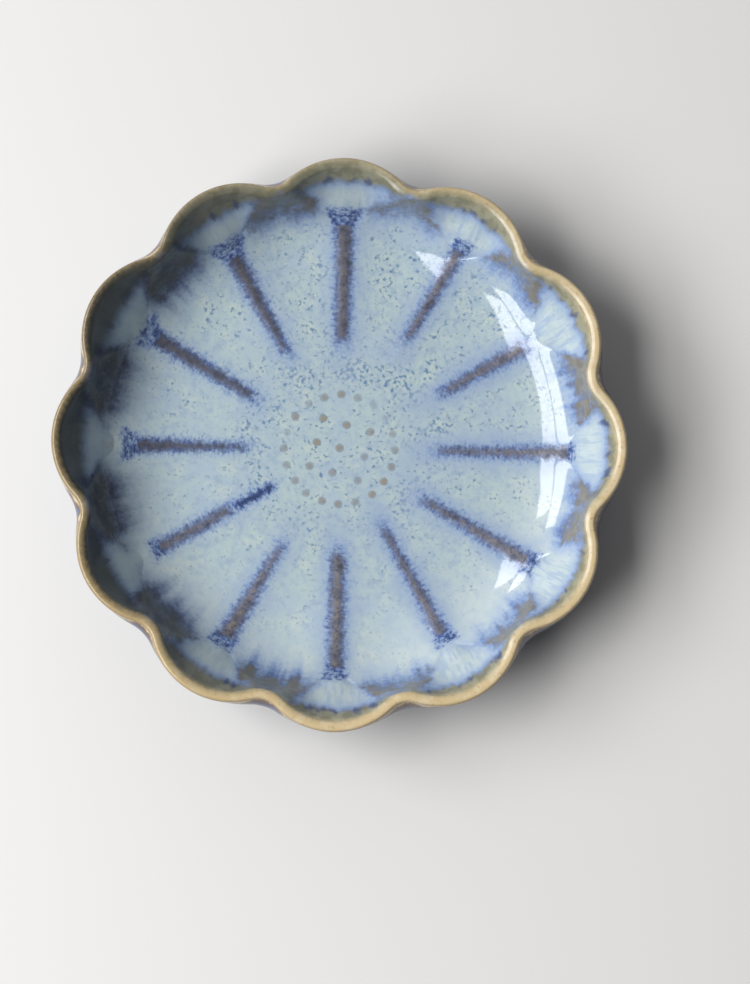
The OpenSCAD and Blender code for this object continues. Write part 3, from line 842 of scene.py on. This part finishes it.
olive_colour = lay(put, linear(OLIVE), (
    (blobs, 0.60, 0.40, 0.7, OLIVE_DARK),
    (painted_shade, 0.0, 1.0, 0.95, PAINTED_SHADE_DARK),
))
gold_colour = lay(put, linear(GOLD), (
    (blobs, 0.46, 0.66, 0.4, GOLD_PALE),
    (spots, 0.60, 0.74, 0.6, RUST),
    (painted_shade, 0.0, 1.0, 0.8, GOLD_IN_PAINTED_SHADE),
    # The brown on the lip's outermost edge is partly the glaze breaking and partly painted shade of the lip's
    # outer side.
    (side, -1.0, -0.2, 0.6, EDGE_BROWN),
))

# %% [markdown]
# The layers go over the milk from thick to thin. A row gives the source, the value where the layer starts,
# the value where it is full, its strength and its colour.

# %% Layers of the glaze
colour = lay(put, milky_field(put, place, crowd), (
    # The first layer paints light on the lit lower-right petals.
    (painted_light, 0.0, 1.0, 0.65, PAINTED_LIGHT_MILK),
    (rib_soft, 4.6, 0.6, halo_share, HALO_BLUE),
    (ledge_soft, 2.6, -1.8, 0.8, ledge_colour),
    (band_soft, 5.0, 0.2, 0.7, lavender),
    (lobe_edge, 2.0, 0.2, 0.4, lavender),
    (band_blue, 3.0, 0.0, 0.7, light_blue),
    (lobe_edge, 1.3, 0.0, 0.55, light_blue),
    (rib_fringe, 1.8, -0.3, 0.65, MID_BLUE),
    (blot_fringe, 1.4, -0.2, 0.6, MID_BLUE),
    (band_blue, 1.8, -0.6, 0.8, mid_blue),
    (rib_fringe, 1.0, -0.9, 0.8, COBALT),
    (blot_fringe, 0.7, -0.6, 0.9, COBALT),
    (band_blue, 0.4, -1.4, 0.85, cobalt),
    (lobe_edge, 0.7, -0.3, 0.7, mid_blue),
    (rib_fringe, 0.5, -1.4, 0.8, NAVY),
    (blot_fringe, 0.4, -0.9, 0.9, NAVY),
    (band_lump, 1.2, -1.4, 0.85, lump_colour),
    (lobe_edge, 0.3, -0.7, 0.95, olive_colour),
    (lobe_drop, 0.2, -0.7, 0.8, drop_colour),
    (rib_core, 0.8, -1.2, 0.92, rib_colour),
    (gold_edge, 1.5, -1.1, 1.0, gold_colour),
))

# %% [markdown]
# Stoneware glaze is glossy and faintly rippled. It is duller where slip or iron breaks through.

# %% Gloss and ripples of the glaze
GLOSS, RIPPLE_SIZE, GLAZE_RIPPLE = 0.07, 2.6, 0.02
ripple = put("TexNoise", {"Vector": place, "Scale": 1 / (RIPPLE_SIZE * MM), "Detail": 3.0})
bump = put("Bump", {"Strength": 1.0, "Distance": GLAZE_RIPPLE * MM, "Height": ripple})
rough = GLOSS
for source, dullest in ((rib_core, 0.55), (band_lump, 0.24), (lobe_edge, 0.2)):
    dull = put("MapRange", {0: source, 1: 0.4, 2: -0.6, 3: GLOSS, 4: dullest})
    rough = put("Math", {0: rough, 1: dull}, operation="MAXIMUM")
finish({"Base Color": colour, "Roughness": rough, "Normal": bump})
print(glaze.name, len(glaze.node_tree.nodes), "nodes")

# %% [markdown]
# Outside, the same dip lies over dark iron slip: a deep glossy blue with runs of lighter blue, which breaks
# to brown just under the lip. The foot is wiped bare, so it shows the buff stoneware with its iron specks.
# Under the glaze in the middle lie the dots of tan slip. The sizes of the patterns are in millimetres.

# %% Dark glaze, bare clay and slip dots
DEEP_BLUE, RUN_BLUE = "#232F55", "#45598F"
CLAY, CLAY_SPECK, CLAY_PALE = "#B8996F", "#6F5335", "#CDB58F"
SLIP_TAN, SLIP_GREY = "#938C7A", "#76849C"
RUN_SIZE, RUN_SWING = 1.6, 4.0
IRON_SIZE, CLAY_PATCH, CLAY_ROUGH = 0.5, 6.0, 0.05
SLIP_MOTTLE, SLIP_SWING, SLIP_RIM = 0.5, 0.8, 0.6


def dark_glaze():
    """Deep blue with lighter runs downhill, brown and then gold at the lip."""
    material, put, finish = new_material("dark_blue_stoneware_glaze", IOR=1.55, Roughness=0.08)
    place = askew_place(put)
    flow_at = put("Attribute", attribute_name="flow").outputs["Vector"]
    side = put("Attribute", attribute_name="side_mm").outputs["Fac"]
    runs = put("TexNoise", {"Vector": flow_at, "Scale": 1 / RUN_SIZE, "Detail": 3.0})
    mottle = put("TexNoise", {"Vector": place, "Scale": 1 / (MOTTLE * MM), "Detail": 3.0})
    below = swayed(put, side, runs, RUN_SWING)
    colour = lay(put, linear(DEEP_BLUE), (
        (runs, 0.45, 0.75, 1.0, RUN_BLUE),
        (below, 2.4, 0.6, 1.0, EDGE_BROWN),
        (below, 0.8, -0.2, 1.0, GOLD),
    ))
    ripple = put("Bump", {"Strength": 1.0, "Distance": GLAZE_RIPPLE * MM, "Height": mottle})
    finish({"Base Color": colour, "Normal": ripple})
    return material


def bare_stoneware():
    """Buff clay, matt and a little rough, with iron specks and paler patches."""
    material, put, finish = new_material("bare_buff_stoneware", IOR=1.5, Roughness=0.75)
    place = askew_place(put)
    grit = put("TexNoise", {"Vector": place, "Scale": 1 / (IRON_SIZE * MM), "Detail": 3.0})
    patch = put("TexNoise", {"Vector": place, "Scale": 1 / (CLAY_PATCH * MM), "Detail": 2.0})
    colour = lay(put, linear(CLAY), (
        (patch, 0.4, 0.65, 1.0, CLAY_PALE),
        (grit, 0.64, 0.72, 0.8, CLAY_SPECK),
    ))
    uneven = put("Bump", {"Strength": 1.0, "Distance": CLAY_ROUGH * MM, "Height": grit})
    finish({"Base Color": colour, "Normal": uneven})
    return material


def slip_under_glaze():
    """Slip that shows through the glaze: tan in a dot's middle, bluish at its rim, milky past its edge."""
    material, put, finish = new_material("tan_slip_under_glaze", IOR=1.58, Roughness=0.08)
    place = askew_place(put)
    edge = put("Attribute", attribute_name="edge_share").outputs["Fac"]
    strength = put("Attribute", attribute_name="strength").outputs["Fac"]
    mottle = put("TexNoise", {"Vector": place, "Scale": 1 / (SLIP_MOTTLE * MM), "Detail": 2.0})
    tan = put("Mix", {0: strength, 6: linear(SLIP_GREY), 7: linear(SLIP_TAN)}, data_type="RGBA")
    rim_strength = put("Math", {0: strength, 1: SLIP_RIM}, operation="MULTIPLY")
    inside = swayed(put, edge, mottle, SLIP_SWING)
    colour = lay(put, milky_field(put, place, 0.0), (
        (inside, 1.15, 0.65, rim_strength, SLIP_GREY),
        (inside, 0.85, 0.2, strength, tan),
    ))
    finish({"Base Color": colour})
    return material


dark, stoneware, tan_slip = dark_glaze(), bare_stoneware(), slip_under_glaze()
print([made.name for made in (dark, stoneware, tan_slip)])

# %% [markdown]
# Each piece now gets its material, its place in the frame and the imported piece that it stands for. Nothing
# on the dish moves, so all of them ride on the one body.

# %% Dressing the frame
dressing = (
    (inner_coat, glaze, "inner_glaze", "blue_glaze"),
    (ribs, glaze, "petal_ribs", "brown_slip"),
    (dots, tan_slip, "stamen_dots", "tan_slip"),
    (lip_coat, glaze, "lip_glaze", "ochre_glaze"),
    (outer_coat, dark, "outer_glaze", "dark_glaze"),
    (base_coat, dark, "base_glaze", "recess_glaze"),
    (clay_body, stoneware, "clay_body", "stoneware"),
    (foot_ring, stoneware, "foot_ring", "bare_foot"),
)
for piece, material, node, slot in dressing:
    piece.data.materials.append(material)
    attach(piece, "root")
    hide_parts(node)
    print(f"{piece.name} stands for {node}")

# %% [markdown]
# The dish lies on a plain pale floor. The light is a large soft window on the left, fairly high, in two panes
# with a thin bar between them, which draws the paired bright strips on the right-hand petals. The world
# adds a weak fill that is stronger from the far side.

# %% Floor
FLOOR_SIZE, FLOOR_PALE = 2.4, "#E0DFDD"
floor_mesh = bpy.data.meshes.new("floor")
floor_corners = FLOOR_SIZE / 2 * np.array([[-1, -1, 0], [1, -1, 0], [1, 1, 0], [-1, 1, 0]])
floor_mesh.from_pydata(floor_corners.tolist(), [], [[0, 1, 2, 3]])
floor = bpy.data.objects.new("floor", floor_mesh)
bpy.context.scene.collection.objects.link(floor)
floor_mesh.materials.append(new_material("pale_floor", Base_Color=linear(FLOOR_PALE), Roughness=0.6)[0])

# %% Light
WINDOW_TURN, WINDOW_FAR, WINDOW_SPREAD, WINDOW_LEVEL = np.radians(186), 0.9, np.radians(36), 7.4
dish_middle = Vector((0, 0, dish_h * MM / 2))


def window_pane(name, low, high):
    """A flat area lamp that fills the angles from low to high over the table, square to its own direction."""
    middle = np.radians((low + high) / 2)
    flat, rise = np.cos(middle), np.sin(middle)
    away = Vector((np.cos(WINDOW_TURN) * flat, np.sin(WINDOW_TURN) * flat, rise))
    lamp = bpy.data.lights.new(name, "AREA")
    lamp.shape = "RECTANGLE"
    lamp.size = 2 * WINDOW_FAR * flat * np.tan(WINDOW_SPREAD)
    lamp.size_y = 2 * WINDOW_FAR * np.tan(np.radians(high - low) / 2)
    lamp.energy = WINDOW_LEVEL * np.pi * lamp.size * lamp.size_y
    thing = bpy.data.objects.new(name, lamp)
    spot = dish_middle + WINDOW_FAR * away
    thing.matrix_world = Matrix.LocRotScale(spot, away.to_track_quat("Z", "Y"), None)
    thing.visible_camera = False
    bpy.context.scene.collection.objects.link(thing)
    print(f"{name}: {lamp.size:.2f} by {lamp.size_y:.2f} m, {lamp.energy:.1f} W")


UPPER_PANE, LOWER_PANE = (55, 71), (30, 53)
window_pane("window_upper_pane", *UPPER_PANE)
window_pane("window_lower_pane", *LOWER_PANE)

# %% Fill from the world, and the backdrop that the camera and the reflections see
FILL_LOW, FILL_HIGH, BACKDROP_LEVEL = 0.02, 0.6, 0.25
world = bpy.data.worlds.new("studio")
bpy.context.scene.world = world
world.use_nodes = True
put = partial(add, world.node_tree)
rays = put("LightPath").outputs
mirrored = put("Math", {0: rays["Is Glossy Ray"], 1: rays["Is Transmission Ray"]}, operation="MAXIMUM")
shown = put("Math", {0: rays["Is Camera Ray"], 1: mirrored}, operation="MAXIMUM")
way = put("SeparateXYZ", {0: put("TexCoord").outputs["Generated"]}).outputs["Y"]
sky = put("MapRange", {0: way, 3: FILL_LOW, 4: FILL_HIGH})
level = put("MapRange", {0: shown, 3: sky, 4: BACKDROP_LEVEL})
fill(world.node_tree, world.node_tree.nodes["Background"], {"Color": (1, 1, 1, 1), "Strength": level})
print(f"fill from {FILL_LOW} to {FILL_HIGH}, backdrop {BACKDROP_LEVEL}")

# %% [markdown]
# The camera looks almost straight down, a few degrees from the near side, and the picture is turned a little.
# Its aim is set off the dish's middle, so that the dish sits left of the middle and above it.

# %% Camera
PICTURE_W, PICTURE_H = 750, 984
RIM_X, RIM_Y = 339.3, 443.0
MM_PER_PIXEL = 0.1819
CAMERA_FAR, CAMERA_LIFT, CAMERA_ROLL = 600.0, np.radians(86), np.radians(1.13)
SENSOR = 36.0
ahead = np.array([0, np.cos(CAMERA_LIFT), -np.sin(CAMERA_LIFT)])
upright = np.array([0, np.sin(CAMERA_LIFT), np.cos(CAMERA_LIFT)])
sideways = np.array([1.0, 0, 0])
up = np.cos(CAMERA_ROLL) * upright - np.sin(CAMERA_ROLL) * sideways
right = np.cos(CAMERA_ROLL) * sideways + np.sin(CAMERA_ROLL) * upright
off_x, off_y = (PICTURE_W / 2 - RIM_X) * MM_PER_PIXEL, (RIM_Y - PICTURE_H / 2) * MM_PER_PIXEL
aim = np.array([0, 0, dish_h]) + off_x * right + off_y * up
lens = bpy.data.cameras.new("camera")
lens.sensor_fit = "VERTICAL"
lens.sensor_height = SENSOR
lens.lens = SENSOR * CAMERA_FAR / (PICTURE_H * MM_PER_PIXEL)
camera = bpy.data.objects.new("camera", lens)
spot = (aim - CAMERA_FAR * ahead) * MM
camera.matrix_world = Matrix.Translation(spot) @ Matrix(np.stack([right, up, -ahead], axis=1)).to_4x4()
bpy.context.scene.collection.objects.link(camera)
bpy.context.scene.camera = camera
bpy.context.scene.view_settings.view_transform = "Standard"
print(f"lens {lens.lens:.1f} mm")
